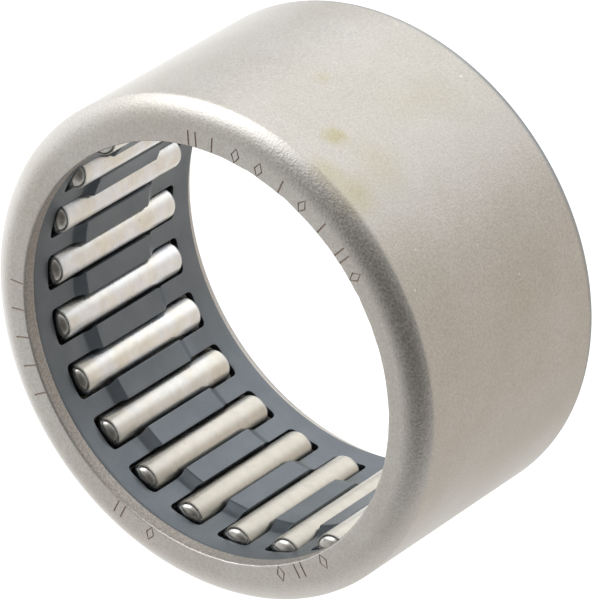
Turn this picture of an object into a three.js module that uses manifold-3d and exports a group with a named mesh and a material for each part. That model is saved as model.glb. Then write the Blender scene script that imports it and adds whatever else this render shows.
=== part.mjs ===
// Drawn-cup needle roller bearing, open at both ends, for a 30 mm shaft.
//
// Three kinds of piece: a thin steel shell whose two rims are turned in as lips, a pressed steel
// cage, and a ring of needle rollers that sit in the cage's pockets and roll on the shell's bore.
// Millimetres, +Z up. The bearing's axis is Y, its front lip looks along -Y, and the origin is the
// middle of the bearing, so it stands on its rim.
import * as THREE from "three";
import { mergeVertices } from "three/addons/utils/BufferGeometryUtils.js";
import Module from "manifold-3d";

const wasm = await Module();
wasm.setup();

// ---- Rollers ----
const shaftDiameter = 30; // the circle that the rollers touch from outside
const rollerDiameter = 2.5;
const rollerLength = 13.8;
const rollerCount = 24;
const rollerEdgeRadius = 0.5; // rounding between a roller's side and its end
const rollerCrown = 0.12; // how far the middle of an end bulges

// ---- Cage ----
const cageSheet = 0.6; // thickness of the pressed strip
const cageShaftGap = 0.25; // from the shaft to the raised middle of the cage
const cageStep = 0.5; // how much closer to the shaft the middle lies than the end rings
const cageRingWidth = 1.75; // from the end of a pocket to the end of the cage
const cageMiddleLength = 7; // raised middle, between the two slopes
const cageSlopeLength = 0.95; // along the axis
const pocketCornerRadius = 0.4;

// ---- Shell ----
const shellWall = 0.97;
const lipThickness = 1.0;
const frontCornerDepth = 2; // the drawn corner, from the shell's side in to the flat lip face
const frontCornerHeight = 1.2; // the same corner, from the lip face along to the crease on the side
const backCornerRadius = 1;
const frontFilletRadius = 1; // inside the front corner, between the raceway and the lip
const backFilletRadius = 0.4;
const frontBoreEdge = 0.15; // rounding of the front lip's bore edge
const backBoreEdge = 0.7; // rounding of the curled back lip

// ---- Clearances ----
const radialClearance = 0.03; // roller to raceway
const pocketSideClearance = 0.02; // roller to the narrow middle of its pocket
const pocketEndSideClearance = 0.09; // roller to the wide ends of its pocket
const pocketEndClearance = 0.15; // roller's end to the end of its pocket
const cageEndPlay = 0.2; // cage's end to each lip
const frontLipShaftGap = 0.45; // front lip's bore to the shaft
const backLipOverlap = 0.15; // how far the shorter back lip, curled over last, covers the cage's end

// ---- Worked out ----
const shaftRadius = shaftDiameter / 2;
const rollerRadius = rollerDiameter / 2;
const pitchRadius = shaftRadius + rollerRadius;
const racewayRadius = pitchRadius + rollerRadius + radialClearance;
const shellRadius = racewayRadius + shellWall;
const pocketLength = rollerLength + 2 * pocketEndClearance;
const cageLength = pocketLength + 2 * cageRingWidth;
const shellWidth = cageLength + 2 * (cageEndPlay + lipThickness);
const middleInner = shaftRadius + cageShaftGap;
const ringInner = middleInner + cageStep;
const ringOuter = ringInner + cageSheet;
const frontBore = shaftRadius + frontLipShaftGap;
const backBore = ringOuter - backLipOverlap;
const middleEnd = cageMiddleLength / 2;
const slopeEnd = middleEnd + cageSlopeLength;

const ringSegments = rollerCount * 3; // facets round the shell and the cage, the same at each pocket
const rollerSegments = 16;
const arcSteps = 4;

// A point of a profile that is turned about the axis: its radius, and its place along the axis.
function at(radius, along) {
  return new THREE.Vector2(radius, along);
}

// Points of a round edge about (radius, along), from one angle to another, in degrees from +radius.
function arc(radius, along, r, from, to, steps = arcSteps) {
  const points = [];
  for (let i = 0; i <= steps; i += 1) {
    const a = THREE.MathUtils.degToRad(from + ((to - from) * i) / steps);
    points.push(at(radius + r * Math.cos(a), along + r * Math.sin(a)));
  }
  return points;
}

// A lathe turns about Y, which is the bearing's own axis, so turned pieces need no rotation. A ring
// is a row of flats that lie on the true circles. A flat's middle faces each roller, and one faces
// down, so the bearing stands on it.
function turnedRing(profile) {
  const halfFlat = Math.PI / ringSegments;
  const corners = profile.map((p) => at(p.x / Math.cos(halfFlat), p.y));
  return new THREE.LatheGeometry([...corners, corners[0]], ringSegments, halfFlat);
}

// ---- Solids for cutting ----
function toSolid(geometry) {
  const bare = geometry.clone().deleteAttribute("normal").deleteAttribute("uv");
  const merged = mergeVertices(bare, 1e-4);
  return new wasm.Manifold(
    new wasm.Mesh({
      numProp: 3,
      vertProperties: merged.attributes.position.array,
      triVerts: new Uint32Array(merged.index.array),
    }),
  );
}

function toGeometry(solid) {
  const mesh = solid.getMesh();
  const geometry = new THREE.BufferGeometry();
  geometry.setAttribute("position", new THREE.BufferAttribute(mesh.vertProperties, 3));
  geometry.setIndex(new THREE.BufferAttribute(mesh.triVerts, 1));
  geometry.computeVertexNormals();
  return geometry;
}

// ---- Shell ----
function shellGeometry() {
  const end = shellWidth / 2;
  // The front corner is part of a circle that leaves the lip face smoothly and meets the side in a
  // crease.
  const cornerRadius = (frontCornerDepth ** 2 + frontCornerHeight ** 2) / (2 * frontCornerHeight);
  const cornerSweep = THREE.MathUtils.radToDeg(Math.asin(frontCornerDepth / cornerRadius));
  const inner = end - lipThickness;
  const profile = [
    ...arc(frontBore + frontBoreEdge, -end + frontBoreEdge, frontBoreEdge, 180, 270, 2),
    ...arc(shellRadius - frontCornerDepth, -end + cornerRadius, cornerRadius, 270, 270 + cornerSweep),
    ...arc(shellRadius - backCornerRadius, end - backCornerRadius, backCornerRadius, 0, 90),
    ...arc(backBore + backBoreEdge, end - backBoreEdge, backBoreEdge, 90, 180, 3),
    at(backBore, inner),
    ...arc(racewayRadius - backFilletRadius, inner - backFilletRadius, backFilletRadius, 90, 0, 2),
    ...arc(racewayRadius - frontFilletRadius, frontFilletRadius - inner, frontFilletRadius, 0, -90, 3),
    at(frontBore, -inner),
  ];
  return turnedRing(profile);
}

// ---- Cage ----
function cageBlank() {
  const end = cageLength / 2;
  const inner = [
    at(ringInner, -end),
    at(ringInner, -slopeEnd),
    at(middleInner, -middleEnd),
    at(middleInner, middleEnd),
    at(ringInner, slopeEnd),
    at(ringInner, end),
  ];
  const outer = inner.map((p) => at(p.x + cageSheet, p.y));
  return turnedRing([...outer, ...inner.reverse()]);
}

// Half the width of a pocket where the strip's outer face lies at this radius: the roller can turn
// in it, and where the strip is inside the pitch circle the roller can't drop through.
function pocketHalfWidth(outerRadius, clearance) {
  const inside = Math.max(pitchRadius - outerRadius, 0);
  return Math.sqrt(rollerRadius ** 2 - inside ** 2) + clearance;
}

// A pocket's outline: x is across it and y along the bearing's axis. Its ends are wider.
function pocketOutline() {
  const narrow = pocketHalfWidth(middleInner + cageSheet, pocketSideClearance);
  const wide = rollerRadius + pocketEndSideClearance;
  const end = pocketLength / 2;
  const halfSlope = (middleEnd + slopeEnd) / 2;
  const quarter = [
    at(narrow, middleEnd),
    at(wide, halfSlope),
    ...arc(wide - pocketCornerRadius, end - pocketCornerRadius, pocketCornerRadius, 0, 90, 3),
  ];
  const mirrored = quarter.map((p) => at(-p.x, p.y)).reverse();
  const half = [...quarter, ...mirrored];
  const otherHalf = half.map((p) => at(-p.x, -p.y));
  return new THREE.Shape([...half, ...otherHalf]);
}

function pocketCutter(angle) {
  const cutter = new THREE.ExtrudeGeometry(pocketOutline(), {
    depth: 2 * rollerDiameter,
    bevelEnabled: false,
    curveSegments: 1,
  });
  cutter.translate(0, 0, middleInner - rollerRadius);
  cutter.rotateY(Math.PI / 2 - angle);
  return toSolid(cutter);
}

function cageGeometry() {
  let cage = toSolid(cageBlank());
  for (let i = 0; i < rollerCount; i += 1) {
    cage = cage.subtract(pocketCutter(rollerAngle(i)));
  }
  return toGeometry(cage);
}

// ---- Rollers ----
// Angle of roller i about the axis, from +X towards +Z.
function rollerAngle(i) {
  return (2 * Math.PI * i) / rollerCount;
}

function rollerGeometry() {
  const end = rollerLength / 2;
  const shoulder = end - rollerCrown;
  const edge = arc(
    rollerRadius - rollerEdgeRadius,
    shoulder - rollerEdgeRadius,
    rollerEdgeRadius,
    0,
    90,
    2,
  );
  const bottom = edge.map((p) => at(p.x, -p.y)).reverse();
  const profile = [at(0, -end), ...bottom, ...edge, at(0, end)];
  return new THREE.LatheGeometry(profile, rollerSegments);
}

// ---- Materials ----
const shellSteel = new THREE.MeshStandardMaterial({
  color: 0xb5afa9,
  roughness: 0.45,
  metalness: 1,
});
const cageSteel = new THREE.MeshStandardMaterial({
  color: 0x6b7076,
  roughness: 0.5,
  metalness: 0.8,
});
const rollerSteel = new THREE.MeshStandardMaterial({
  color: 0xd6d0c6,
  roughness: 0.25,
  metalness: 1,
});

function part(name, geometry, material) {
  const mesh = new THREE.Mesh(geometry, material);
  mesh.name = name;
  return mesh;
}

// ---- Assembly ----
const bearing = new THREE.Group();
bearing.add(part("shell", shellGeometry(), shellSteel));
bearing.add(part("cage", cageGeometry(), cageSteel));
for (let i = 0; i < rollerCount; i += 1) {
  const name = `roller_${String(i + 1).padStart(2, "0")}`;
  const roller = part(name, rollerGeometry(), rollerSteel);
  const angle = rollerAngle(i);
  roller.position.set(pitchRadius * Math.cos(angle), 0, pitchRadius * Math.sin(angle));
  bearing.add(roller);
}

export default bearing;
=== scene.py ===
# %% [markdown]
# # A drawn-cup needle roller bearing
#
# The bearing has three kinds of piece. A thin steel shell is pressed from strip like a deep cup, and both
# of its rims are turned in as lips. Inside it a pressed steel cage holds 24 thin rollers, which carry the
# load between the shell and a shaft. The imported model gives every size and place, and this lesson makes
# the surfaces: each piece is built finely, in the model's own frame, and stands for its plain solid.

# %% Load the frame
import math

import bmesh
import bpy
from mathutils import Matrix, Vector, noise


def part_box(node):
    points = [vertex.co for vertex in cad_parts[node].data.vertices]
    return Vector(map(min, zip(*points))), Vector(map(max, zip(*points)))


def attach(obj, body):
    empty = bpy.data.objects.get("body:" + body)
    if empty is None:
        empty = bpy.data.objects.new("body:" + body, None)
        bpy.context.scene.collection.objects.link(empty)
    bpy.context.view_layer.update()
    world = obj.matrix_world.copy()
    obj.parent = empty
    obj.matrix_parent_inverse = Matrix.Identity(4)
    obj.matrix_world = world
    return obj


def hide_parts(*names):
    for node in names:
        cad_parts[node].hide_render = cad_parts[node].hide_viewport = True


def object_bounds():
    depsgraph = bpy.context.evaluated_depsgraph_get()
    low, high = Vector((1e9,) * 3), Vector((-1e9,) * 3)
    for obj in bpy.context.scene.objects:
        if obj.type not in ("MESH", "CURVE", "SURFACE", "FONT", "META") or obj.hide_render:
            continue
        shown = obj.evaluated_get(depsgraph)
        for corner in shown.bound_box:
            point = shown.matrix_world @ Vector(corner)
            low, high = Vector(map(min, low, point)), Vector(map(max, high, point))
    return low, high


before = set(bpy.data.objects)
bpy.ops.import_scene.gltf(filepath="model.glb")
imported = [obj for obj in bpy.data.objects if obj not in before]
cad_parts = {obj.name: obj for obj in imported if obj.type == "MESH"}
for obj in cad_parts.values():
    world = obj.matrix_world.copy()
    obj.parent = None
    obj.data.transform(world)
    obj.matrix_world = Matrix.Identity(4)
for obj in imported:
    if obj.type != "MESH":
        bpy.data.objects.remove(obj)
cad_low, cad_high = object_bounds()
MM = 0.001
size_mm = [round((high - low) / MM, 3) for low, high in zip(cad_low, cad_high)]
print("the model's box in mm:", size_mm)

# %% [markdown]
# ## Sizes
#
# The outer sizes are read from the solids, so that they can't drift away from the model. The smaller
# sizes, such as a rounding, are named here in millimetres, as on a maker's drawing.

# %% Sizes from the solids
shell_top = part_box("shell")[1] / MM
roller_low, roller_high = (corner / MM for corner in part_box("roller_01"))
cage_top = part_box("cage")[1] / MM

SHELL_RADIUS = shell_top.z
SHELL_END = shell_top.y
ROLLER_RADIUS = (roller_high.z - roller_low.z) / 2
ROLLER_END = roller_high.y
PITCH_RADIUS = (roller_high.x + roller_low.x) / 2
CAGE_RADIUS = cage_top.z
CAGE_END = cage_top.y
ROLLER_NAMES = sorted(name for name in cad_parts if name.startswith("roller_"))
ROLLER_COUNT = len(ROLLER_NAMES)
print(ROLLER_COUNT, "rollers", round(2 * ROLLER_RADIUS, 3), "mm thick, pitch radius", round(PITCH_RADIUS, 3))

# %% [markdown]
# ## The camera
#
# The view is from the front, right and above, with a long lens. A long lens keeps the front and the back
# of the ring almost the same size, as in a catalogue. The camera is placed by two angles and a distance,
# and a small offset in its own plane frames the bearing.

# %% Camera
VIEW_TURN = math.radians(36.86)
VIEW_LIFT = math.radians(27.73)
VIEW_DISTANCE = 484.3 * MM
VIEW_OFFSET = (0.277 * MM, 0.017 * MM)
LENS = 424.3
SENSOR = 36

away = Vector(
    (
        math.sin(VIEW_TURN) * math.cos(VIEW_LIFT),
        -math.cos(VIEW_TURN) * math.cos(VIEW_LIFT),
        math.sin(VIEW_LIFT),
    )
)
right = Vector((math.cos(VIEW_TURN), math.sin(VIEW_TURN), 0))
up = away.cross(right)
camera_data = bpy.data.cameras.new("camera")
camera_data.lens = LENS
camera_data.sensor_width = SENSOR
camera_data.clip_start = 0.01
camera_data.clip_end = 20
camera = bpy.data.objects.new("camera", camera_data)
camera.location = away * VIEW_DISTANCE + right * VIEW_OFFSET[0] + up * VIEW_OFFSET[1]
camera.rotation_mode = "QUATERNION"
camera.rotation_quaternion = (-away).to_track_quat("-Z", "Y")
bpy.context.scene.collection.objects.link(camera)
bpy.context.scene.camera = camera
print("the camera is", round(camera.location.length, 3), "m away")

# %% [markdown]
# ## Two small helpers
#
# Colours are picked as sRGB hex values, as on a screen, but a shader works in linear light, so one function
# turns them. The other adds a node to any tree. It is told the node's settings by name and its sockets by
# name or number, and a socket takes either a plain value or the output that feeds it.


# %% Helpers for colours and nodes
def linear(hex_colour):
    channels = [int(hex_colour[i : i + 2], 16) / 255 for i in (1, 3, 5)]
    light = [c / 12.92 if c <= 0.04045 else ((c + 0.055) / 1.055) ** 2.4 for c in channels]
    return (*light, 1.0)


def add_node(tree, kind, sockets=None, **settings):
    node = tree.nodes.new(kind)
    for name, value in settings.items():
        setattr(node, name, value)
    for key, value in (sockets or {}).items():
        if isinstance(value, bpy.types.NodeSocket):
            tree.links.new(value, node.inputs[key])
        else:
            node.inputs[key].default_value = value
    return node


print("white is", linear("#ffffff"), "and mid grey is", round(linear("#808080")[0], 3))

# %% [markdown]
# ## What every finish starts from
#
# Each finish is a metal, so its colour is the colour of its reflections. The finish's pattern reads Object
# coordinates, which are metres in the bearing's frame. A Mapping node could scale them, but one
# multiplication says the same more plainly: they are turned into millimetres first, so that a pattern's
# scale is one over its real size.


# %% A new metal finish
def new_finish(name):
    finish = bpy.data.materials.new(name)
    finish.use_nodes = True
    tree = finish.node_tree
    tree.nodes.clear()
    shader = add_node(tree, "ShaderNodeBsdfPrincipled", {"Metallic": 1.0})
    add_node(tree, "ShaderNodeOutputMaterial", {"Surface": shader.outputs[0]})
    place = add_node(tree, "ShaderNodeTexCoord")
    in_mm = add_node(
        tree,
        "ShaderNodeVectorMath",
        {0: place.outputs["Object"], 1: (1 / MM, 1 / MM, 1 / MM)},
        operation="MULTIPLY",
    )
    return finish, tree, shader, in_mm.outputs[0]


print("patterns are scaled in units of", MM, "m")

# %% [markdown]
# ## Satin hardened steel, for the shell
#
# The cup is drawn from low-carbon strip, case-hardened, and then tumbled with ceramic chips. Tumbling
# leaves a fine matt grain with no direction, about a tenth of a millimetre across, so the surface blurs
# what it mirrors. Heat and preserving oil tint it in broad warm clouds. An image could hold all this, but
# noise needs no file and stays sharp when seen close. The finish is built up in layers, the broad ones first.

# %% Satin hardened steel: warm clouds
CLOUD = 9.0

satin_steel, tree, shader, where = new_finish("satin hardened steel")
clouds = add_node(
    tree,
    "ShaderNodeTexNoise",
    {"Vector": where, "Scale": 1 / CLOUD, "Detail": 4.0, "Roughness": 0.6},
).outputs["Fac"]
share = add_node(
    tree, "ShaderNodeMapRange", {"Value": clouds, "From Min": 0.35, "From Max": 0.65}
).outputs["Result"]
tint = add_node(
    tree,
    "ShaderNodeMix",
    {"Factor": share, 6: linear("#c4c2bf"), 7: linear("#bdbab4")},
    data_type="RGBA",
).outputs[2]
print("clouds", CLOUD, "mm wide on", satin_steel.name)

# %% [markdown]
# Oil that dried on the shell left a few yellowish stains on its upper side. Each stain is a soft ball
# round a point on the surface. They could be painted on the mesh, but paint needs a dense mesh and a
# distance needs none. The distance is measured from a place that noise has pushed about, which gives the
# stain a ragged edge. Noise is never below zero, so the middle moves too and half the push is added back.

# %% Satin hardened steel: places pushed about by noise
WOBBLE_WIDTH = 0.9
WOBBLE_PUSH = 1.3

wobble = add_node(
    tree, "ShaderNodeTexNoise", {"Vector": where, "Scale": 1 / WOBBLE_WIDTH, "Detail": 3.0}
).outputs["Color"]
wobbled = add_node(
    tree,
    "ShaderNodeVectorMath",
    {0: wobble, 1: (WOBBLE_PUSH, WOBBLE_PUSH, WOBBLE_PUSH), 2: where},
    operation="MULTIPLY_ADD",
).outputs[0]
half_push = Vector((WOBBLE_PUSH, WOBBLE_PUSH, WOBBLE_PUSH)) / 2
print("a stain's edge wanders by up to", WOBBLE_PUSH / 2, "mm")

# %% Satin hardened steel: oil stains
STAIN_CORE = 0.2
STAINS = [  # degrees round from +X towards +Z, mm along the axis, size in mm, strength
    (66.1, -5.3, 1.3, 0.55),
    (80.0, -0.9, 1.0, 0.3),
    (60.5, -8.4, 1.5, 0.35),
    (53.1, -8.0, 2.2, 0.4),
    (55.4, -4.3, 2.8, 0.2),
    (64.0, 1.8, 2.4, 0.12),
    (61.6, 4.8, 2.6, 0.09),
]

for degrees, along, size, strength in STAINS:
    turn = math.radians(degrees)
    centre = Vector((SHELL_RADIUS * math.cos(turn), along, SHELL_RADIUS * math.sin(turn)))
    from_centre = add_node(
        tree, "ShaderNodeVectorMath", {0: wobbled, 1: centre + half_push}, operation="DISTANCE"
    ).outputs["Value"]
    stained = add_node(
        tree,
        "ShaderNodeMapRange",
        {
            "Value": from_centre,
            "From Min": STAIN_CORE * size,
            "From Max": size,
            "To Min": strength,
            "To Max": 0.0,
        },
    ).outputs["Result"]
    tint = add_node(
        tree, "ShaderNodeMix", {"Factor": stained, 6: tint, 7: linear("#aea676")}, data_type="RGBA"
    ).outputs[2]
print(len(STAINS), "stains")

# %% [markdown]
# Chips that hit hard leave tiny bright dents, a few millimetres apart, and dirt darkens small pits. They
# could be cut into the mesh, but at this size a change of colour is all that shows. The back lip was curled
# over last, and its bend keeps a thin blue-grey scale, which is limited here by the distance along the axis
# and from it. Dents and pits are drawn a little bigger than they are, to show.

# %% Satin hardened steel: bright dents
DENT_SPACING = 3.0
DENT_CORE, DENT_EDGE = 0.015, 0.035

dents = add_node(
    tree,
    "ShaderNodeTexVoronoi",
    {"Vector": where, "Scale": 1 / DENT_SPACING, "Randomness": 1.0},
).outputs["Distance"]
dented = add_node(
    tree,
    "ShaderNodeMapRange",
    {"Value": dents, "From Min": DENT_CORE, "From Max": DENT_EDGE, "To Min": 0.7, "To Max": 0.0},
).outputs["Result"]
tint = add_node(
    tree, "ShaderNodeMix", {"Factor": dented, 6: tint, 7: linear("#f4f2ee")}, data_type="RGBA"
).outputs[2]
print("dents", round(2 * DENT_EDGE * DENT_SPACING, 2), "mm wide")

# %% Satin hardened steel: scale on the back bend
SCALE_FROM_END = (1.05, 0.7)
SCALE_FROM_SIDE = (1.3, 0.7)

axes = add_node(tree, "ShaderNodeSeparateXYZ", {0: where}).outputs
across = add_node(tree, "ShaderNodeCombineXYZ", {"X": axes["X"], "Z": axes["Z"]}).outputs[0]
from_axis = add_node(tree, "ShaderNodeVectorMath", {0: across}, operation="LENGTH").outputs["Value"]
at_end = add_node(
    tree,
    "ShaderNodeMapRange",
    {
        "Value": axes["Y"],
        "From Min": SHELL_END - SCALE_FROM_END[0],
        "From Max": SHELL_END - SCALE_FROM_END[1],
        "To Max": 0.7,
    },
).outputs["Result"]
on_bend = add_node(
    tree,
    "ShaderNodeMapRange",
    {
        "Value": from_axis,
        "From Min": SHELL_RADIUS - SCALE_FROM_SIDE[0],
        "From Max": SHELL_RADIUS - SCALE_FROM_SIDE[1],
    },
).outputs["Result"]
scaled = add_node(tree, "ShaderNodeMath", {0: at_end, 1: on_bend}, operation="MULTIPLY").outputs[0]
tint = add_node(
    tree, "ShaderNodeMix", {"Factor": scaled, 6: tint, 7: linear("#848c91")}, data_type="RGBA"
).outputs[2]
print("scale on the last", SCALE_FROM_END[0], "mm of the back")

# %% Satin hardened steel: pits
PIT = 0.4

pits = add_node(
    tree, "ShaderNodeTexNoise", {"Vector": where, "Scale": 1 / PIT, "Detail": 3.0, "Roughness": 0.7}
).outputs["Fac"]
pitted = add_node(
    tree, "ShaderNodeMapRange", {"Value": pits, "From Min": 0.68, "From Max": 0.76, "To Max": 0.4}
).outputs["Result"]
tint = add_node(
    tree, "ShaderNodeMix", {"Factor": pitted, 6: tint, 7: linear("#8f867b")}, data_type="RGBA"
).outputs[2]
print("pits up to", PIT, "mm wide")

# %% [markdown]
# Last comes the tumbled grain. It lightens and darkens the steel a little, changes its gloss and lifts it
# in tiny bumps, all from one noise, so that the three agree. Real displacement could do it too, but would
# need millions of faces for the same look. It's drawn a little coarser than it is, to show.

# %% Satin hardened steel: tumbled grain
GRAIN = 0.16
GRAIN_HEIGHT = 0.03

grain = add_node(
    tree, "ShaderNodeTexNoise", {"Vector": where, "Scale": 1 / GRAIN, "Detail": 2.0}
).outputs["Fac"]
shaded = add_node(
    tree,
    "ShaderNodeMapRange",
    {"Value": grain, "From Min": 0.3, "From Max": 0.7, "To Min": 0.88, "To Max": 1.12},
).outputs["Result"]
tint = add_node(
    tree, "ShaderNodeMix", {"Factor": 1.0, 6: tint, 7: shaded}, data_type="RGBA", blend_type="MULTIPLY"
).outputs[2]
gloss = add_node(
    tree,
    "ShaderNodeMapRange",
    {"Value": grain, "From Min": 0.3, "From Max": 0.7, "To Min": 0.34, "To Max": 0.46},
).outputs["Result"]
bump = add_node(
    tree, "ShaderNodeBump", {"Height": grain, "Strength": 0.6, "Distance": GRAIN_HEIGHT * MM}
).outputs[0]
tree.links.new(tint, shader.inputs["Base Color"])
tree.links.new(gloss, shader.inputs["Roughness"])
tree.links.new(bump, shader.inputs["Normal"])
print(satin_steel.name, "has", len(tree.nodes), "nodes and a grain of", GRAIN, "mm")

# %% [markdown]
# ## Punched edge and burnished raceway
#
# The lip's bore is punched, which tears the steel, so its edge is coarser and darker than the tumbled
# faces. The bore that the rollers run on is burnished by them and stays smooth under its film of oil. It is
# seen only in the narrow gaps round the rollers, where very little light comes in. One finish with a mask
# could cover all three, but two more finishes are easier to read, and each is given to its own faces.

# %% Punched edge
TEAR = 0.14
TEAR_HEIGHT = 0.03

punched_edge, tree, shader, where = new_finish("punched steel edge")
tear = add_node(
    tree, "ShaderNodeTexNoise", {"Vector": where, "Scale": 1 / TEAR, "Detail": 3.0}
).outputs["Fac"]
share = add_node(
    tree, "ShaderNodeMapRange", {"Value": tear, "From Min": 0.35, "From Max": 0.65}
).outputs["Result"]
torn = add_node(
    tree,
    "ShaderNodeMix",
    {"Factor": share, 6: linear("#a39e99"), 7: linear("#c5c0bb")},
    data_type="RGBA",
).outputs[2]
bump = add_node(
    tree, "ShaderNodeBump", {"Height": tear, "Strength": 0.5, "Distance": TEAR_HEIGHT * MM}
).outputs[0]
tree.links.new(torn, shader.inputs["Base Color"])
tree.links.new(bump, shader.inputs["Normal"])
shader.inputs["Roughness"].default_value = 0.5
print(punched_edge.name, "with tears of", TEAR, "mm")

# %% Oiled raceway
RACEWAY_FILM = 3.0

oiled_raceway, tree, shader, where = new_finish("oiled raceway steel")
film = add_node(
    tree, "ShaderNodeTexNoise", {"Vector": where, "Scale": 1 / RACEWAY_FILM, "Detail": 3.0}
).outputs["Fac"]
oily = add_node(
    tree,
    "ShaderNodeMix",
    {"Factor": film, 6: linear("#c4bfb9"), 7: linear("#d2ccc5")},
    data_type="RGBA",
).outputs[2]
gloss = add_node(
    tree,
    "ShaderNodeMapRange",
    {"Value": film, "From Min": 0.3, "From Max": 0.7, "To Min": 0.28, "To Max": 0.4},
).outputs["Result"]
tree.links.new(oily, shader.inputs["Base Color"])
tree.links.new(gloss, shader.inputs["Roughness"])
print(oiled_raceway.name, "with film patches of", RACEWAY_FILM, "mm")

# %% [markdown]
# ## Blue-grey strip steel, for the cage
#
# The cage is pressed from thin cold-rolled strip and then nitrided, which turns it slate grey, slightly
# blue, and satin smooth. It mirrors only about a fifth of the light, so it looks dark beside the rollers.
# A flat colour would come close, but faint patches and a fine grain stop it from looking like plastic. The
# grain is drawn coarser than it is, to show.

# %% Nitrided strip steel
SHADE_PATCH = 2.5
SALT_GRAIN = 0.12
SALT_GRAIN_HEIGHT = 0.01

nitrided_strip, tree, shader, where = new_finish("nitrided strip steel")
shade = add_node(
    tree, "ShaderNodeTexNoise", {"Vector": where, "Scale": 1 / SHADE_PATCH, "Detail": 4.0}
).outputs["Fac"]
share = add_node(
    tree, "ShaderNodeMapRange", {"Value": shade, "From Min": 0.35, "From Max": 0.65}
).outputs["Result"]
slate = add_node(
    tree,
    "ShaderNodeMix",
    {"Factor": share, 6: linear("#70777e"), 7: linear("#787f86")},
    data_type="RGBA",
).outputs[2]
fine = add_node(
    tree, "ShaderNodeTexNoise", {"Vector": where, "Scale": 1 / SALT_GRAIN, "Detail": 2.0}
).outputs["Fac"]
gloss = add_node(
    tree,
    "ShaderNodeMapRange",
    {"Value": fine, "From Min": 0.3, "From Max": 0.7, "To Min": 0.36, "To Max": 0.46},
).outputs["Result"]
bump = add_node(
    tree, "ShaderNodeBump", {"Height": fine, "Strength": 0.15, "Distance": SALT_GRAIN_HEIGHT * MM}
).outputs[0]
tree.links.new(slate, shader.inputs["Base Color"])
tree.links.new(gloss, shader.inputs["Roughness"])
tree.links.new(bump, shader.inputs["Normal"])
print(nitrided_strip.name, "with a grain of", SALT_GRAIN, "mm")

# %% [markdown]
# ## Ground steel, for the rollers
#
# The rollers are hard bearing steel, ground and lapped as they spin, so their fine lines run round them
# and depend only on the place along the bearing's axis. They are the brightest pieces. A thin film of oil
# turns them cream in places, mottles them and dries to small brown spots. The lowest rollers are also
# given a darker colour, which is painted shade for the dimmer light they mirror down there. The oil could
# be a clear coat over the steel, but a film this thin shows only as colour. The grinding lines are drawn
# coarser than they are, to show.

# %% Ground bearing steel: film of oil, and painted shade on the lowest rollers
OIL_PATCH = 2.2
LOW_ROLLER_SHADE = (-8.0, -14.0)

ground_steel, tree, shader, where = new_finish("ground bearing steel")
film = add_node(
    tree, "ShaderNodeTexNoise", {"Vector": where, "Scale": 1 / OIL_PATCH, "Detail": 2.0}
).outputs["Fac"]
share = add_node(
    tree, "ShaderNodeMapRange", {"Value": film, "From Min": 0.38, "From Max": 0.62}
).outputs["Result"]
cream = add_node(
    tree,
    "ShaderNodeMix",
    {"Factor": share, 6: linear("#eff2f7"), 7: linear("#ebe9e1")},
    data_type="RGBA",
).outputs[2]
# Painted shade: the lower a roller stands, the more it is mixed towards a darker grey, for the dimmer light
# it mirrors there.
height = add_node(tree, "ShaderNodeSeparateXYZ", {0: where}).outputs["Z"]
painted_low_shade = add_node(
    tree,
    "ShaderNodeMapRange",
    {"Value": height, "From Min": LOW_ROLLER_SHADE[0], "From Max": LOW_ROLLER_SHADE[1]},
).outputs["Result"]
cream = add_node(
    tree, "ShaderNodeMix", {"Factor": painted_low_shade, 6: cream, 7: linear("#c8c5bd")}, data_type="RGBA"
).outputs[2]
print("oil patches of", OIL_PATCH, "mm, gathering below", LOW_ROLLER_SHADE[0], "mm")

# %% Ground bearing steel: spots and mottling
OIL_SPOT = 0.45
OIL_MOTTLE = 0.7

spots = add_node(
    tree,
    "ShaderNodeTexNoise",
    {"Vector": where, "Scale": 1 / OIL_SPOT, "Detail": 3.0, "Roughness": 0.6},
).outputs["Fac"]
spotted = add_node(
    tree, "ShaderNodeMapRange", {"Value": spots, "From Min": 0.70, "From Max": 0.76, "To Max": 0.6}
).outputs["Result"]
cream = add_node(
    tree, "ShaderNodeMix", {"Factor": spotted, 6: cream, 7: linear("#8a7654")}, data_type="RGBA"
).outputs[2]
mottle = add_node(
    tree, "ShaderNodeTexNoise", {"Vector": where, "Scale": 1 / OIL_MOTTLE, "Detail": 3.0}
).outputs["Fac"]
mottled = add_node(
    tree,
    "ShaderNodeMapRange",
    {"Value": mottle, "From Min": 0.3, "From Max": 0.7, "To Min": 0.94, "To Max": 1.06},
).outputs["Result"]
cream = add_node(
    tree, "ShaderNodeMix", {"Factor": 1.0, 6: cream, 7: mottled}, data_type="RGBA", blend_type="MULTIPLY"
).outputs[2]
tree.links.new(cream, shader.inputs["Base Color"])
print("oil spots of", OIL_SPOT, "mm")

# %% Ground bearing steel: grinding lines
GRINDING_LINE = 0.09
GRINDING_HEIGHT = 0.006

along_axis = add_node(
    tree, "ShaderNodeVectorMath", {0: where, 1: (0.0, 1.0, 0.0)}, operation="MULTIPLY"
).outputs[0]
lines = add_node(
    tree, "ShaderNodeTexNoise", {"Vector": along_axis, "Scale": 1 / GRINDING_LINE, "Detail": 2.0}
).outputs["Fac"]
gloss = add_node(
    tree,
    "ShaderNodeMapRange",
    {"Value": lines, "From Min": 0.3, "From Max": 0.7, "To Min": 0.26, "To Max": 0.36},
).outputs["Result"]
bump = add_node(
    tree, "ShaderNodeBump", {"Height": lines, "Strength": 0.15, "Distance": GRINDING_HEIGHT * MM}
).outputs[0]
tree.links.new(gloss, shader.inputs["Roughness"])
tree.links.new(bump, shader.inputs["Normal"])
print(ground_steel.name, "with grinding lines of", GRINDING_LINE, "mm")

# %% [markdown]
# ## Tumbled steel, for the rollers' ends
#
# Only the round side of a roller is ground. Its ends are cut off, rounded and tumbled, which leaves them
# smooth but a little darker than the side, and they mirror the inside of the lip and a patch of light. The
# side's finish could cover them, but its grinding lines would be wrong there.

# %% Tumbled roller end
TUMBLE_MARK = 0.3

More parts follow.
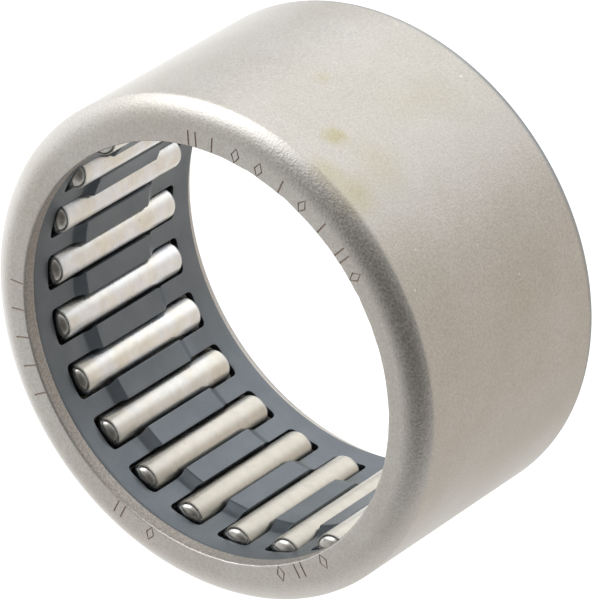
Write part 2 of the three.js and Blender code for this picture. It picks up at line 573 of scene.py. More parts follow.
tumbled_end, tree, shader, where = new_finish("tumbled bearing steel")
dull = add_node(
    tree, "ShaderNodeTexNoise", {"Vector": where, "Scale": 1 / TUMBLE_MARK, "Detail": 3.0}
).outputs["Fac"]
share = add_node(
    tree, "ShaderNodeMapRange", {"Value": dull, "From Min": 0.35, "From Max": 0.65}
).outputs["Result"]
dulled = add_node(
    tree,
    "ShaderNodeMix",
    {"Factor": share, 6: linear("#a8a7a4"), 7: linear("#c0beba")},
    data_type="RGBA",
).outputs[2]
tree.links.new(dulled, shader.inputs["Base Color"])
shader.inputs["Roughness"].default_value = 0.17
print(tumbled_end.name, "with marks of", TUMBLE_MARK, "mm")

# %% [markdown]
# ## Scribed marks
#
# A maker scribes a code on the lip with a fine point and the cut oxidises to a thin brown line. Here the
# marks are plain strokes, pairs of strokes and diamonds that say nothing. Their finish is only a colour,
# given to the faces that the scriber cuts, because the cut itself makes the line's light and shadow.

# %% Scribed line
RUST = 0.3

scribed_line, tree, shader, where = new_finish("scribed line, oxidised")
rust = add_node(
    tree, "ShaderNodeTexNoise", {"Vector": where, "Scale": 1 / RUST, "Detail": 3.0}
).outputs["Fac"]
brown = add_node(
    tree,
    "ShaderNodeMix",
    {"Factor": rust, 6: linear("#958880"), 7: linear("#ab9d92")},
    data_type="RGBA",
).outputs[2]
tree.links.new(brown, shader.inputs["Base Color"])
shader.inputs["Roughness"].default_value = 0.6
print(scribed_line.name, "with rust patches of", RUST, "mm")

# %% [markdown]
# ## Turning a profile
#
# The shell and the rollers are round, so each is drawn as a profile and turned. Blender's Screw modifier
# could do it, but the rollers each need a place of their own, so one Geometry Nodes tree does both jobs. A
# grid is bent round: its columns go round the axis, and each row reads its radius and its place along the
# axis from one vertex of the profile. Merging by distance then closes the seam and the poles.

# %% Inputs of the turning tree
turning = bpy.data.node_groups.new("turn a profile", "GeometryNodeTree")
for name, kind in (
    ("Profile", "NodeSocketGeometry"),
    ("Segments", "NodeSocketInt"),
    ("Place radius", "NodeSocketFloat"),
    ("Place angle", "NodeSocketFloat"),
    ("Finish", "NodeSocketMaterial"),
):
    turning.interface.new_socket(name, in_out="INPUT", socket_type=kind)
turning.interface.new_socket("Geometry", in_out="OUTPUT", socket_type="NodeSocketGeometry")
given = add_node(turning, "NodeGroupInput").outputs
print("the tree", repr(turning.name), "takes", list(given.keys())[:-1])

# %% A grid with one column for each step round and one row for each point of the profile
points = add_node(
    turning,
    "GeometryNodeAttributeDomainSize",
    {"Geometry": given["Profile"]},
).outputs["Point Count"]
columns = add_node(turning, "ShaderNodeMath", {0: given["Segments"], 1: 1.0}, operation="ADD").outputs[0]
grid = add_node(
    turning,
    "GeometryNodeMeshGrid",
    {"Size X": 1.0, "Size Y": 1.0, "Vertices X": columns, "Vertices Y": points},
).outputs["Mesh"]
index = add_node(turning, "GeometryNodeInputIndex").outputs[0]
row = add_node(turning, "ShaderNodeMath", {0: index, 1: points}, operation="MODULO").outputs[0]
column = add_node(turning, "ShaderNodeMath", {0: index, 1: points}, operation="DIVIDE").outputs[0]
column = add_node(turning, "ShaderNodeMath", {0: column}, operation="FLOOR").outputs[0]
print("a column's number is its index over the points, rounded down")

# %% Bend the grid round the axis
share = add_node(turning, "ShaderNodeMath", {0: column, 1: given["Segments"]}, operation="DIVIDE").outputs[0]
angle = add_node(turning, "ShaderNodeMath", {0: share, 1: 2 * math.pi}, operation="MULTIPLY").outputs[0]
position = add_node(turning, "GeometryNodeInputPosition").outputs[0]
drawn = add_node(
    turning,
    "GeometryNodeSampleIndex",
    {"Geometry": given["Profile"], "Value": position, "Index": row},
    data_type="FLOAT_VECTOR",
).outputs[0]
drawn = add_node(turning, "ShaderNodeSeparateXYZ", {0: drawn}).outputs
cosine = add_node(turning, "ShaderNodeMath", {0: angle}, operation="COSINE").outputs[0]
sine = add_node(turning, "ShaderNodeMath", {0: angle}, operation="SINE").outputs[0]
around = add_node(turning, "ShaderNodeCombineXYZ", {"X": cosine, "Z": sine}).outputs[0]
outward = add_node(
    turning, "ShaderNodeVectorMath", {0: around, "Scale": drawn["X"]}, operation="SCALE"
).outputs[0]
along = add_node(turning, "ShaderNodeCombineXYZ", {"Y": drawn["Y"]}).outputs[0]
turned = add_node(turning, "ShaderNodeVectorMath", {0: outward, 1: along}, operation="ADD").outputs[0]
print("the angle runs from +X towards +Z")

# %% Move it to its place, close it and give it its finish
MERGE_TURNED = 0.0005

place_cosine = add_node(turning, "ShaderNodeMath", {0: given["Place angle"]}, operation="COSINE").outputs[0]
place_sine = add_node(turning, "ShaderNodeMath", {0: given["Place angle"]}, operation="SINE").outputs[0]
place = add_node(turning, "ShaderNodeCombineXYZ", {"X": place_cosine, "Z": place_sine}).outputs[0]
place = add_node(
    turning, "ShaderNodeVectorMath", {0: place, "Scale": given["Place radius"]}, operation="SCALE"
).outputs[0]
placed = add_node(turning, "ShaderNodeVectorMath", {0: turned, 1: place}, operation="ADD").outputs[0]
bent = add_node(turning, "GeometryNodeSetPosition", {"Geometry": grid, "Position": placed}).outputs[0]
closed = add_node(
    turning,
    "GeometryNodeMergeByDistance",
    {"Geometry": bent, "Distance": MERGE_TURNED * MM},
).outputs[0]
real = add_node(turning, "GeometryNodeRealizeInstances", {"Geometry": closed}).outputs[0]
finished = add_node(
    turning,
    "GeometryNodeSetMaterial",
    {"Geometry": real, "Material": given["Finish"]},
).outputs[0]
add_node(turning, "NodeGroupOutput", {"Geometry": finished})
print("the tree", repr(turning.name), "has", len(turning.nodes), "nodes")

# %% [markdown]
# ## From tree to plain mesh
#
# A modifier's inputs are set by the identifiers of their sockets. The evaluated result is copied into a
# plain mesh, which keeps nothing of the tree, and the normals are recalculated on the merged surface,
# because a turned shape can come out inside out. Applying the modifier by an operator would do as well,
# but it depends on what is selected.


# %% Helpers that make an object and set a tree's inputs
def mesh_object(name, points, edges=(), faces=()):
    mesh = bpy.data.meshes.new(name)
    mesh.from_pydata([Vector(p) * MM for p in points], edges, faces)
    made = bpy.data.objects.new(name, mesh)
    bpy.context.scene.collection.objects.link(made)
    return made


def add_tree(piece, group, **inputs):
    modifier = piece.modifiers.new(group.name, "NODES")
    modifier.node_group = group
    wanted = {name.replace("_", " ").capitalize(): value for name, value in inputs.items()}
    for socket in group.interface.items_tree:
        if socket.in_out == "INPUT" and socket.name in wanted:
            modifier[socket.identifier] = wanted.pop(socket.name)
    assert not wanted, f"{group.name} has no input named {sorted(wanted)}"


print("an input such as Place radius is given as place_radius")

# %% A helper that keeps the evaluated mesh
MERGE_KEPT = 0.0002


def keep_mesh(piece, smooth_below=30):
    view_layer = bpy.context.evaluated_depsgraph_get()
    mesh = bpy.data.meshes.new_from_object(piece.evaluated_get(view_layer))
    piece.modifiers.clear()
    piece.data = mesh
    work = bmesh.new()
    work.from_mesh(mesh)
    bmesh.ops.remove_doubles(work, verts=work.verts, dist=MERGE_KEPT * MM)
    bmesh.ops.recalc_face_normals(work, faces=work.faces)
    open_edges = sum(not edge.is_manifold for edge in work.edges)
    volume = work.calc_volume(signed=True) / MM**3
    work.to_mesh(mesh)
    work.free()
    finishes = [finish for finish in mesh.materials if finish]
    indices = [finishes.index(mesh.materials[face.material_index]) for face in mesh.polygons if finishes]
    mesh.materials.clear()
    for finish in finishes:
        mesh.materials.append(finish)
    mesh.polygons.foreach_set("material_index", indices)
    mesh.shade_smooth()
    mesh.set_sharp_from_angle(angle=math.radians(smooth_below))
    print(piece.name, len(mesh.polygons), "faces,", open_edges, "open edges,", round(volume, 1), "mm3")
    return mesh


print("vertices closer than", MERGE_KEPT, "mm are merged")


# %% A helper that draws an arc of a profile
def arc(radius, along, rounding, start, end, steps):
    turns = [math.radians(start + (end - start) * i / steps) for i in range(steps + 1)]
    return [(radius + rounding * math.cos(t), along + rounding * math.sin(t)) for t in turns]


quarter = [tuple(round(c, 2) for c in point) for point in arc(0, 0, 1, 0, 90, 4)]
print("a quarter of a circle in four steps:", quarter)

# %% [markdown]
# ## The shell
#
# The profile follows the model's. The front lip is flat near the bore and sweeps back in one large round,
# which meets the ground side in a crease. A punch burnishes that crease slightly, so it is rounded by a
# tenth of a millimetre and catches a thin line of light. The first step along the side is very short,
# which stops the crease's smooth shading from spreading over the side. The back lip is curled over last.

# %% Sizes of the shell
LIP = 1.0
SHELL_WALL = 0.97
FRONT_BORE = 15.45
FRONT_BORE_EDGE = 0.15
FRONT_CORNER_DEPTH = 2.0
FRONT_CORNER_HEIGHT = 1.2
FRONT_FILLET = 1.0
CREASE_ROUND = 0.1
BACK_BORE = 16.2
BACK_BORE_EDGE = 0.7
BACK_CORNER = 1.0
BACK_FILLET = 0.4

raceway = SHELL_RADIUS - SHELL_WALL
inner = SHELL_END - LIP
corner_radius = (FRONT_CORNER_DEPTH**2 + FRONT_CORNER_HEIGHT**2) / (2 * FRONT_CORNER_HEIGHT)
corner_sweep = math.degrees(math.asin(FRONT_CORNER_DEPTH / corner_radius))
crease = FRONT_CORNER_HEIGHT - SHELL_END
crease_start = corner_sweep - math.degrees(CREASE_ROUND / corner_radius)
corner_middle = SHELL_RADIUS - FRONT_CORNER_DEPTH
print("the front corner's radius is", round(corner_radius, 2), "mm over", round(corner_sweep, 1), "degrees")

# %% Profile of the shell
FLAT_BEFORE_CORNER = 0.5
CREASE_MIDDLE = (0.15, 0.1)
SIDE_STEPS = (0.08, 1, 4, 8, 12, 16)
BORE_EDGE_STEPS, FRONT_CORNER_STEPS, FRONT_FILLET_STEPS = 6, 28, 12
BACK_CORNER_STEPS, BACK_BORE_STEPS, BACK_FILLET_STEPS = 16, 12, 8

bore_edge = FRONT_BORE + FRONT_BORE_EDGE
back_edge = BACK_BORE + BACK_BORE_EDGE
back_corner = SHELL_END - BACK_CORNER
corner_end = 270 + crease_start
shell_profile = [
    *arc(bore_edge, FRONT_BORE_EDGE - SHELL_END, FRONT_BORE_EDGE, 180, 270, BORE_EDGE_STEPS),
    (corner_middle - FLAT_BEFORE_CORNER, -SHELL_END),
    *arc(corner_middle, corner_radius - SHELL_END, corner_radius, 270, corner_end, FRONT_CORNER_STEPS),
    (SHELL_RADIUS - CREASE_MIDDLE[0] * CREASE_ROUND, crease + CREASE_MIDDLE[1] * CREASE_ROUND),
    (SHELL_RADIUS, crease + CREASE_ROUND),
    *[(SHELL_RADIUS, crease + CREASE_ROUND + step) for step in SIDE_STEPS],
    *arc(SHELL_RADIUS - BACK_CORNER, back_corner, BACK_CORNER, 0, 90, BACK_CORNER_STEPS),
    *arc(back_edge, SHELL_END - BACK_BORE_EDGE, BACK_BORE_EDGE, 90, 180, BACK_BORE_STEPS),
    (BACK_BORE, inner),
    *arc(raceway - BACK_FILLET, inner - BACK_FILLET, BACK_FILLET, 90, 0, BACK_FILLET_STEPS),
    *arc(raceway - FRONT_FILLET, FRONT_FILLET - inner, FRONT_FILLET, 0, -90, FRONT_FILLET_STEPS),
    (FRONT_BORE, -inner),
    (FRONT_BORE, FRONT_BORE_EDGE - SHELL_END),
]
print("the shell's profile has", len(shell_profile), "points")

# %% Turn the shell
SHELL_SEGMENTS = 360

shell = mesh_object("shell_fine", [(*p, 0) for p in shell_profile])
add_tree(shell, turning, segments=SHELL_SEGMENTS, finish=satin_steel)
keep_mesh(shell)

# %% [markdown]
# The lip's edge is where the punch broke through, so it isn't quite even. Its vertices are moved in and
# out by a hundredth of a millimetre or two, with nicks where the noise peaks. It could be sculpted by hand,
# but noise comes out the same each time. The move is always into the steel, so that the shell stays inside
# its box. The bore's faces then get their own finishes.

# %% Uneven edge
NICK = 0.05
NICK_LEAN = 0.5
EDGE_BAND = 0.35
CLEAR_OF_INNER_FACE = 0.05
WAVE_SCALE, NICK_SCALE, NICK_SHARE = 0.9, 3.1, 0.6

moved = 0
for vertex in shell.data.vertices:
    x, y, z = vertex.co / MM
    radius = math.hypot(x, z)
    if y > -inner - CLEAR_OF_INNER_FACE or radius > FRONT_BORE + EDGE_BAND:
        continue
    wave = noise.noise(Vector((x, z, 0)) * WAVE_SCALE)
    unevenness = wave + NICK_SHARE * noise.noise(Vector((x, z, 5)) * NICK_SCALE)
    depth = NICK * max(unevenness, 0) * (1 - (radius - FRONT_BORE) / EDGE_BAND)
    outwards = 1 + depth / radius
    vertex.co = Vector((x * outwards, y + NICK_LEAN * depth, z * outwards)) * MM
    moved += 1
print(moved, "vertices of the lip's edge moved by up to", NICK, "mm")

# %% Finishes inside the shell
PUNCHED_SHARE = 0.3

shell.data.materials.append(punched_edge)
shell.data.materials.append(oiled_raceway)
for face in shell.data.polygons:
    radius = math.hypot(face.center.x, face.center.z) / MM
    if radius < FRONT_BORE + PUNCHED_SHARE * FRONT_BORE_EDGE and face.center.y < 0:
        face.material_index = 1
    elif abs(face.center.y) / MM < inner and radius < SHELL_RADIUS - SHELL_WALL / 2:
        face.material_index = 2
print("the shell's finishes:", [finish.name for finish in shell.data.materials])

# %% [markdown]
# ## The scribed marks
#
# The marks repeat along an arc, which is work for Geometry Nodes. Each mark is a small curve that the
# scriber's point follows, a stroke, a pair of strokes or a diamond, and a thin tube swept along it is cut out
# of the lip. Painted lines would be simpler, but would catch no light. The kinds are dealt out by a random
# number with a fixed seed. The tree is used once for each group of marks on the lip.

# %% Inputs of the scribing tree
scribing = bpy.data.node_groups.new("scribe marks", "GeometryNodeTree")
for name, kind in (
    ("Geometry", "NodeSocketGeometry"),
    ("Count", "NodeSocketInt"),
    ("First angle", "NodeSocketFloat"),
    ("Step angle", "NodeSocketFloat"),
    ("Middle radius", "NodeSocketFloat"),
    ("Lip face", "NodeSocketFloat"),
    ("Height", "NodeSocketFloat"),
    ("Width", "NodeSocketFloat"),
    ("Point radius", "NodeSocketFloat"),
    ("Seed", "NodeSocketInt"),
    ("Line", "NodeSocketMaterial"),
):
    scribing.interface.new_socket(name, in_out="INPUT", socket_type=kind)
scribing.interface.new_socket("Geometry", in_out="OUTPUT", socket_type="NodeSocketGeometry")
given = add_node(scribing, "NodeGroupInput").outputs
print("the tree", repr(scribing.name), "takes", len(given) - 1, "inputs")

# %% The three kinds of mark
half = add_node(scribing, "ShaderNodeMath", {0: given["Height"], 1: 0.5}, operation="MULTIPLY").outputs[0]
minus_half = add_node(scribing, "ShaderNodeMath", {0: half, 1: -1.0}, operation="MULTIPLY").outputs[0]
low_end = add_node(scribing, "ShaderNodeCombineXYZ", {"Y": minus_half}).outputs[0]
high_end = add_node(scribing, "ShaderNodeCombineXYZ", {"Y": half}).outputs[0]
stroke = add_node(scribing, "GeometryNodeCurvePrimitiveLine", {"Start": low_end, "End": high_end}).outputs[0]
beside = add_node(scribing, "ShaderNodeCombineXYZ", {"X": given["Width"]}).outputs[0]
second = add_node(
    scribing, "GeometryNodeTransform", {"Geometry": stroke, "Translation": beside}
).outputs[0]
pair = add_node(scribing, "GeometryNodeJoinGeometry")
scribing.links.new(stroke, pair.inputs[0])
scribing.links.new(second, pair.inputs[0])
outline = add_node(
    scribing,
    "GeometryNodeCurvePrimitiveQuadrilateral",
    {"Width": given["Width"], "Bottom Height": half, "Top Height": half},
    mode="KITE",
).outputs[0]
kinds = add_node(scribing, "GeometryNodeGeometryToInstance")
for curve in (outline, pair.outputs[0], stroke):
    scribing.links.new(curve, kinds.inputs[0])
print("a diamond, a pair of strokes and a stroke")

# %% A row of points along an arc of the lip
row = add_node(scribing, "GeometryNodePoints", {"Count": given["Count"]}).outputs[0]
index = add_node(scribing, "GeometryNodeInputIndex").outputs[0]
angle = add_node(
    scribing,
    "ShaderNodeMath",
    {0: index, 1: given["Step angle"], 2: given["First angle"]},
    operation="MULTIPLY_ADD",
).outputs[0]
cosine = add_node(scribing, "ShaderNodeMath", {0: angle}, operation="COSINE").outputs[0]
sine = add_node(scribing, "ShaderNodeMath", {0: angle}, operation="SINE").outputs[0]
spot = add_node(scribing, "ShaderNodeCombineXYZ", {"X": cosine, "Z": sine}).outputs[0]
spot = add_node(
    scribing, "ShaderNodeVectorMath", {0: spot, "Scale": given["Middle radius"]}, operation="SCALE"
).outputs[0]
on_face = add_node(scribing, "ShaderNodeCombineXYZ", {"Y": given["Lip face"]}).outputs[0]
spot = add_node(scribing, "ShaderNodeVectorMath", {0: spot, 1: on_face}, operation="ADD").outputs[0]
row = add_node(scribing, "GeometryNodeSetPosition", {"Geometry": row, "Position": spot}).outputs[0]
lean = add_node(
    scribing, "ShaderNodeMath", {0: math.pi / 2, 1: angle}, operation="SUBTRACT"
).outputs[0]
upright = add_node(scribing, "ShaderNodeCombineXYZ", {"X": math.pi / 2, "Y": lean}).outputs[0]
print("each mark stands upright, its foot towards the bore")

# %% Deal out the marks
which = add_node(
    scribing,
    "FunctionNodeRandomValue",
    {4: 0, 5: 2, "Seed": given["Seed"]},
    data_type="INT",
)
marks = add_node(
    scribing,
    "GeometryNodeInstanceOnPoints",
    {
        "Points": row,
        "Instance": kinds.outputs[0],
        "Pick Instance": True,
        "Instance Index": which.outputs[2],
        "Rotation": upright,
    },
).outputs[0]
marks = add_node(scribing, "GeometryNodeRealizeInstances", {"Geometry": marks}).outputs[0]
print("the marks come in a random order with a fixed seed")

# %% Sweep the point along them and cut them into the lip
tip = add_node(
    scribing, "GeometryNodeCurvePrimitiveCircle", {"Resolution": 8, "Radius": given["Point radius"]}
).outputs[0]
tubes = add_node(
    scribing,
    "GeometryNodeCurveToMesh",
    {"Curve": marks, "Profile Curve": tip, "Fill Caps": True},
).outputs[0]
tubes = add_node(
    scribing, "GeometryNodeSetMaterial", {"Geometry": tubes, "Material": given["Line"]}
).outputs[0]
cut = add_node(scribing, "GeometryNodeMeshBoolean", operation="DIFFERENCE", solver="EXACT")
scribing.links.new(given["Geometry"], cut.inputs[0])
scribing.links.new(tubes, cut.inputs[1])
add_node(scribing, "NodeGroupOutput", {"Geometry": cut.outputs[0]})
print("the tree", repr(scribing.name), "has", len(scribing.nodes), "nodes")

# %% Scribe the lip
MARK_MIDDLE = 16.12
MARK_HEIGHT = 1.1
MARK_WIDTH = 0.62
POINT_RADIUS = 0.075
POINT_LIFT = 0.03
MARK_GROUPS = [(9, 38, 7, 3), (5, 178, 7.5, 11), (2, 244, 9, 5), (3, 294, 7.5, 8)]

for count, first, step, seed in MARK_GROUPS:
    add_tree(
        shell,
        scribing,
        count=count,
        first_angle=math.radians(first),
        step_angle=math.radians(step),
        middle_radius=MARK_MIDDLE * MM,
        lip_face=-(SHELL_END + POINT_LIFT) * MM,
        height=MARK_HEIGHT * MM,
        width=MARK_WIDTH * MM,
        point_radius=POINT_RADIUS * MM,
        seed=seed,
        line=scribed_line,
    )
keep_mesh(shell)
print("with its marks the shell's finishes are", [finish.name for finish in shell.data.materials])
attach(shell, "shell")
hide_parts("shell")

# %% [markdown]
# ## The cage
#
# The real cage starts as a flat strip with a row of pockets, which is stepped by a form roll and bent into
# a ring. It is made the same way here. Pockets could be cut out of a turned ring, but the cutter would leave
# ragged faces at their corners. Everything repeats from a quarter of one pocket, so only that
# quarter is drawn, flat, with clean rows of faces that follow the pocket's edge round its corner. A tree
# mirrors it twice, repeats it once for each roller and rolls the strip up, and then Solidify gives the
# strip its thickness and Bevel rounds the punched edges.

# %% A quarter of a pocket, flat
CAGE_SHEET = 0.6
CAGE_STEP = 0.5
MIDDLE_END = 3.5
SLOPE_END = 4.45
BEND = 0.1
POCKET_NARROW = 1.204
POCKET_WIDE = 1.34
MIDDLE_ROW, WIDE_ROW = 1.7, 5.5
POCKET_END_CLEARANCE = 0.15
POCKET_END = ROLLER_END + POCKET_END_CLEARANCE
POCKET_CORNER = 0.4
POCKET_CORNER_STEPS = 6
BAR_COLUMNS = 5
RING_COLUMNS = 5
RING_ROWS = 4

ring_radius = CAGE_RADIUS - CAGE_SHEET
half_pitch = math.pi * ring_radius / ROLLER_COUNT
slope_middle = (MIDDLE_END + SLOPE_END) / 2
narrow_rows = (0, MIDDLE_ROW, MIDDLE_END - BEND, MIDDLE_END, MIDDLE_END + BEND)
wide_rows = (slope_middle, SLOPE_END - BEND, SLOPE_END + BEND, WIDE_ROW)
pocket_edge = [(POCKET_NARROW, y) for y in narrow_rows] + [(POCKET_WIDE, y) for y in wide_rows]
corner_edge = POCKET_WIDE - POCKET_CORNER
pocket_edge += arc(corner_edge, POCKET_END - POCKET_CORNER, POCKET_CORNER, 0, 90, POCKET_CORNER_STEPS)
ring_rows = [POCKET_END + (CAGE_END - POCKET_END) * i / RING_ROWS for i in range(1, RING_ROWS + 1)]
print("a pocket's pitch is", round(2 * half_pitch, 3), "mm inside the end rings")


# %% Rows of faces beside and above the pocket
def bar_row(edge, along):
    return [(edge + (half_pitch - edge) * i / BAR_COLUMNS, along) for i in range(BAR_COLUMNS + 1)]


quarter_points, quarter_faces = [], []


def add_rows(rows):
    start = len(quarter_points)
    width = len(rows[0])
    quarter_points.extend((x, y, 0) for row in rows for x, y in row)
    for i in range(len(rows) - 1):
        for j in range(width - 1):
            a = start + i * width + j
            quarter_faces.append((a, a + 1, a + width + 1, a + width))


above_pocket = [corner_edge * i / RING_COLUMNS for i in range(RING_COLUMNS)]
add_rows([bar_row(edge, along) for edge, along in pocket_edge])
add_rows(
    [
        [(x, along) for x in above_pocket] + bar_row(corner_edge, along)
        for along in [POCKET_END, *ring_rows]
    ]
)
print("a quarter of a pocket has", len(quarter_faces), "faces")

# %% Inputs of the rolling tree
rolling = bpy.data.node_groups.new("roll up a cage", "GeometryNodeTree")
for name, kind in (
    ("Quarter", "NodeSocketGeometry"),
    ("Pockets", "NodeSocketInt"),
    ("Half pitch", "NodeSocketFloat"),
    ("Ring radius", "NodeSocketFloat"),
    ("Step", "NodeSocketFloat"),
    ("Slope start", "NodeSocketFloat"),
    ("Slope end", "NodeSocketFloat"),
    ("Finish", "NodeSocketMaterial"),
):
    rolling.interface.new_socket(name, in_out="INPUT", socket_type=kind)
rolling.interface.new_socket("Geometry", in_out="OUTPUT", socket_type="NodeSocketGeometry")
given = add_node(rolling, "NodeGroupInput").outputs
print("the tree", repr(rolling.name), "takes", list(given.keys())[:-1])

# %% Mirror the quarter twice and repeat it along the strip
cell = given["Quarter"]
for mirror in ((-1.0, 1.0, 1.0), (1.0, -1.0, 1.0)):
    other = add_node(rolling, "GeometryNodeTransform", {"Geometry": cell, "Scale": mirror}).outputs[0]
    other = add_node(rolling, "GeometryNodeFlipFaces", {"Mesh": other}).outputs[0]
    joined = add_node(rolling, "GeometryNodeJoinGeometry")
    rolling.links.new(cell, joined.inputs[0])
    rolling.links.new(other, joined.inputs[0])
    cell = joined.outputs[0]
pitch = add_node(rolling, "ShaderNodeMath", {0: given["Half pitch"], 1: 2.0}, operation="MULTIPLY").outputs[0]
offset = add_node(rolling, "ShaderNodeCombineXYZ", {"X": pitch}).outputs[0]
line = add_node(
    rolling,
    "GeometryNodeMeshLine",
    {"Count": given["Pockets"], "Offset": offset},
).outputs[0]
strip = add_node(rolling, "GeometryNodeInstanceOnPoints", {"Points": line, "Instance": cell}).outputs[0]
strip = add_node(rolling, "GeometryNodeRealizeInstances", {"Geometry": strip}).outputs[0]
print("the strip holds a cell for each pocket")

# %% Step the strip and bend it into a ring
position = add_node(rolling, "GeometryNodeInputPosition").outputs[0]
flat = add_node(rolling, "ShaderNodeSeparateXYZ", {0: position}).outputs
angle = add_node(
    rolling, "ShaderNodeMath", {0: flat["X"], 1: given["Ring radius"]}, operation="DIVIDE"
).outputs[0]
from_middle = add_node(rolling, "ShaderNodeMath", {0: flat["Y"]}, operation="ABSOLUTE").outputs[0]
dip = add_node(
    rolling,
    "ShaderNodeMapRange",
    {
        "Value": from_middle,
        "From Min": given["Slope start"],
        "From Max": given["Slope end"],
        "To Min": given["Step"],
        "To Max": 0.0,
    },
).outputs["Result"]
radius = add_node(
    rolling, "ShaderNodeMath", {0: given["Ring radius"], 1: dip}, operation="SUBTRACT"
).outputs[0]
cosine = add_node(rolling, "ShaderNodeMath", {0: angle}, operation="COSINE").outputs[0]
sine = add_node(rolling, "ShaderNodeMath", {0: angle}, operation="SINE").outputs[0]
around = add_node(rolling, "ShaderNodeCombineXYZ", {"X": cosine, "Z": sine}).outputs[0]
outward = add_node(
    rolling, "ShaderNodeVectorMath", {0: around, "Scale": radius}, operation="SCALE"
).outputs[0]
along = add_node(rolling, "ShaderNodeCombineXYZ", {"Y": flat["Y"]}).outputs[0]
rolled = add_node(rolling, "ShaderNodeVectorMath", {0: outward, 1: along}, operation="ADD").outputs[0]
ring = add_node(rolling, "GeometryNodeSetPosition", {"Geometry": strip, "Position": rolled}).outputs[0]
print("a point's place along the strip becomes its angle")

# %% Close the ring and give it its finish
MERGE_ROLLED = 0.002

ring = add_node(
    rolling, "GeometryNodeMergeByDistance", {"Geometry": ring, "Distance": MERGE_ROLLED * MM}
).outputs[0]
real = add_node(rolling, "GeometryNodeRealizeInstances", {"Geometry": ring}).outputs[0]
finished = add_node(
    rolling,
    "GeometryNodeSetMaterial",
    {"Geometry": real, "Material": given["Finish"]},
).outputs[0]
add_node(rolling, "NodeGroupOutput", {"Geometry": finished})
print("the tree", repr(rolling.name), "has", len(rolling.nodes), "nodes")

# %% Roll up the cage
cage = mesh_object("cage_fine", quarter_points, faces=quarter_faces)
add_tree(
    cage,
    rolling,
    pockets=ROLLER_COUNT,
    half_pitch=half_pitch * MM,
    ring_radius=ring_radius * MM,
    step=CAGE_STEP * MM,
    slope_start=MIDDLE_END * MM,
    slope_end=SLOPE_END * MM,
    finish=nitrided_strip,
)
cage_sheet = keep_mesh(cage)
inwards = sum(
    face.normal.x * face.center.x + face.normal.z * face.center.z < 0 for face in cage_sheet.polygons
)
if inwards > len(cage_sheet.polygons) / 2:
    cage_sheet.flip_normals()

# %% Thicken the cage and round its edges
PUNCHED_ROUND = 0.06
PUNCHED_ANGLE = 50

thicken = cage.modifiers.new("sheet thickness", "SOLIDIFY")
thicken.thickness = CAGE_SHEET * MM
thicken.offset = 1
thicken.use_even_offset = True
rounding = cage.modifiers.new("punched edges", "BEVEL")
rounding.width = PUNCHED_ROUND * MM
rounding.segments = 2
rounding.angle_limit = math.radians(PUNCHED_ANGLE)
keep_mesh(cage, smooth_below=40)
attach(cage, "cage")
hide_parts("cage")

# %% [markdown]
# ## The rollers
#
# A needle roller is a plain cylinder whose ends are rounded and domed. The dome's arc runs into the edge's
# arc with no kink, as tumbling leaves it, so the light runs over it smoothly. Each roller is a body of its
# own, because it spins in its pocket, so each gets a mesh of its own from the same tree and the same
# profile, with only its place angle changed.

# %% Profile of a roller
ROLLER_EDGE = 0.62
DOME_TURN = 24
DOME_STEPS = 8
EDGE_STEPS = 8
SIDE_ROW = 2.5

edge_centre = ROLLER_RADIUS - ROLLER_EDGE
dome_radius = ROLLER_EDGE + edge_centre / math.sin(math.radians(DOME_TURN))
dome_height = dome_radius * (1 - math.cos(math.radians(DOME_TURN)))
shoulder = ROLLER_END - dome_height - ROLLER_EDGE * math.cos(math.radians(DOME_TURN))
dome = arc(0, ROLLER_END - dome_radius, dome_radius, 90, 90 - DOME_TURN, DOME_STEPS)[:-1]
edge = arc(edge_centre, shoulder, ROLLER_EDGE, 90 - DOME_TURN, 0, EDGE_STEPS)
half_profile = [*dome, *edge, (ROLLER_RADIUS, SIDE_ROW)]
roller_profile = half_profile + [(x, -y) for x, y in reversed(half_profile)]
print("a roller's profile has", len(roller_profile), "points")

# %% Turn the rollers
ROLLER_SEGMENTS = 40
END_BAND = 0.55

for number, name in enumerate(ROLLER_NAMES):
    roller = mesh_object(f"{name}_fine", [(*p, 0) for p in roller_profile])
    add_tree(
        roller,
        turning,
        segments=ROLLER_SEGMENTS,
        place_radius=PITCH_RADIUS * MM,
        place_angle=2 * math.pi * number / ROLLER_COUNT,
        finish=ground_steel,
    )
    roller_mesh = keep_mesh(roller)
    roller_mesh.materials.append(tumbled_end)
    for face in roller_mesh.polygons:
        if abs(face.center.y) / MM > ROLLER_END - END_BAND:
            face.material_index = 1
    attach(roller, name)
    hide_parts(name)

# %% [markdown]
# ## Floor and light
#
# The bearing stands on a white light table, so no shadow shows under it. Steel looks like what is around
# it, so the light is a soft white tent drawn on the world. Lamps could light it, but the steel would mirror
# their hard edges. Each panel is a direction, two angles between which it fades, a strength and a colour,
# and it covers what comes before it in the list. A bright panel hangs overhead on the left, pale walls
# stand behind and on the left with a darker seam and a gap between them, the white table glows below, and
# the side where the camera stands is dark.

# %% Floor
TABLE_GLOW = 1.2
FLOOR_HALF = 4000.0

table_white = bpy.data.materials.new("white light table")
table_white.use_nodes = True
tree = table_white.node_tree
tree.nodes.clear()
glow = add_node(tree, "ShaderNodeEmission", {"Color": linear("#ffffff"), "Strength": TABLE_GLOW})
add_node(tree, "ShaderNodeOutputMaterial", {"Surface": glow.outputs[0]})
corners = [
    (x_side * FLOOR_HALF, y_side * FLOOR_HALF, -SHELL_RADIUS)
    for x_side, y_side in ((-1, -1), (1, -1), (1, 1), (-1, 1))
]
floor = mesh_object("light_table", corners, faces=[(0, 1, 2, 3)])
floor.data.materials.append(table_white)
floor.visible_glossy = False
floor.visible_diffuse = False
floor.visible_shadow = False
print("the floor lies at", -SHELL_RADIUS, "mm")

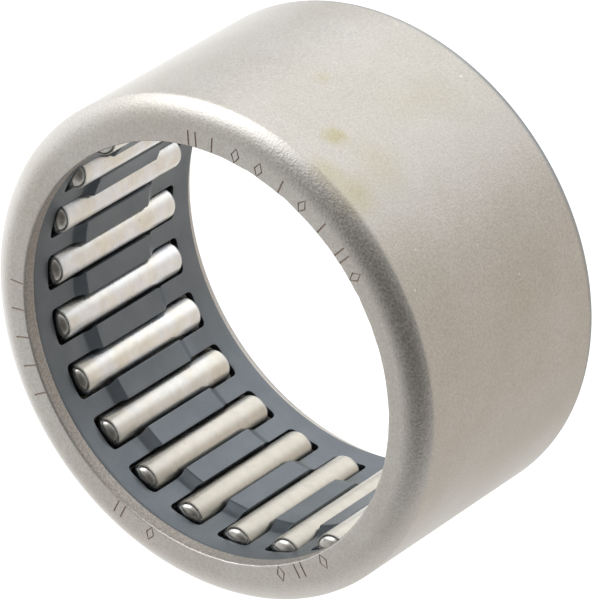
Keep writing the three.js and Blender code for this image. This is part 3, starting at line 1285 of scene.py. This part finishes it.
# %% Panels of the light tent
CLOTH_LIGHT = 0.86
CLOTH_COLOUR = "#fffcf8"
PANELS = [  # name, direction, degrees to the inner and outer edge, strength, colour
    ("dark camera side", (0.52, -0.84, 0.03), 8, 72, 0.17, "#fffaf5"),
    ("white table below", (-0.36, 0.24, -0.90), 12, 44, 1.12, "#fffdfa"),
    ("warm sweep behind on the right", (0.68, 0.70, -0.20), 25, 58, 0.78, "#fff5ea"),
    ("wall behind", (-0.30, 0.70, 0.65), 25, 63, 1.38, "#fffdf9"),
    ("wall on the left", (-0.97, 0.12, 0.02), 20, 46, 1.45, "#ffffff"),
    ("wall on the left, low", (-0.80, 0.45, -0.40), 12, 34, 1.60, "#ffffff"),
    ("seam in the wall", (-0.66, 0.71, 0.26), 3, 18, 0.90, "#ffffff"),
    ("gap behind", (-0.05, 1.00, 0.05), 5, 24, 0.75, "#f4f8ff"),
    ("overhead panel", (-0.50, -0.25, 0.83), 14, 37, 3.1, "#ffffff"),
]
print(len(PANELS), "panels of soft light")

# %% Hang the panels on the world
world = bpy.data.worlds.new("light tent")
bpy.context.scene.world = world
world.use_nodes = True
tree = world.node_tree
tree.nodes.clear()
direction = add_node(tree, "ShaderNodeTexCoord").outputs["Generated"]
total = Vector(linear(CLOTH_COLOUR)[:3]) * CLOTH_LIGHT
for name, towards, inside, outside, strength, colour in PANELS:
    near = add_node(
        tree,
        "ShaderNodeVectorMath",
        {0: direction, 1: Vector(towards).normalized()},
        operation="DOT_PRODUCT",
    ).outputs["Value"]
    covers = add_node(
        tree,
        "ShaderNodeMapRange",
        {
            "Value": near,
            "From Min": math.cos(math.radians(outside)),
            "From Max": math.cos(math.radians(inside)),
        },
        interpolation_type="SMOOTHSTEP",
        label=name,
    ).outputs["Result"]
    total = add_node(
        tree,
        "ShaderNodeMix",
        {0: covers, 4: total, 5: Vector(linear(colour)[:3]) * strength},
        data_type="VECTOR",
    ).outputs[1]
sky = add_node(tree, "ShaderNodeBackground", {"Color": total, "Strength": 1.0})
add_node(tree, "ShaderNodeOutputWorld", {"Surface": sky.outputs[0]})
bpy.context.scene.view_settings.view_transform = "Standard"
print("the world has", len(tree.nodes), "nodes")
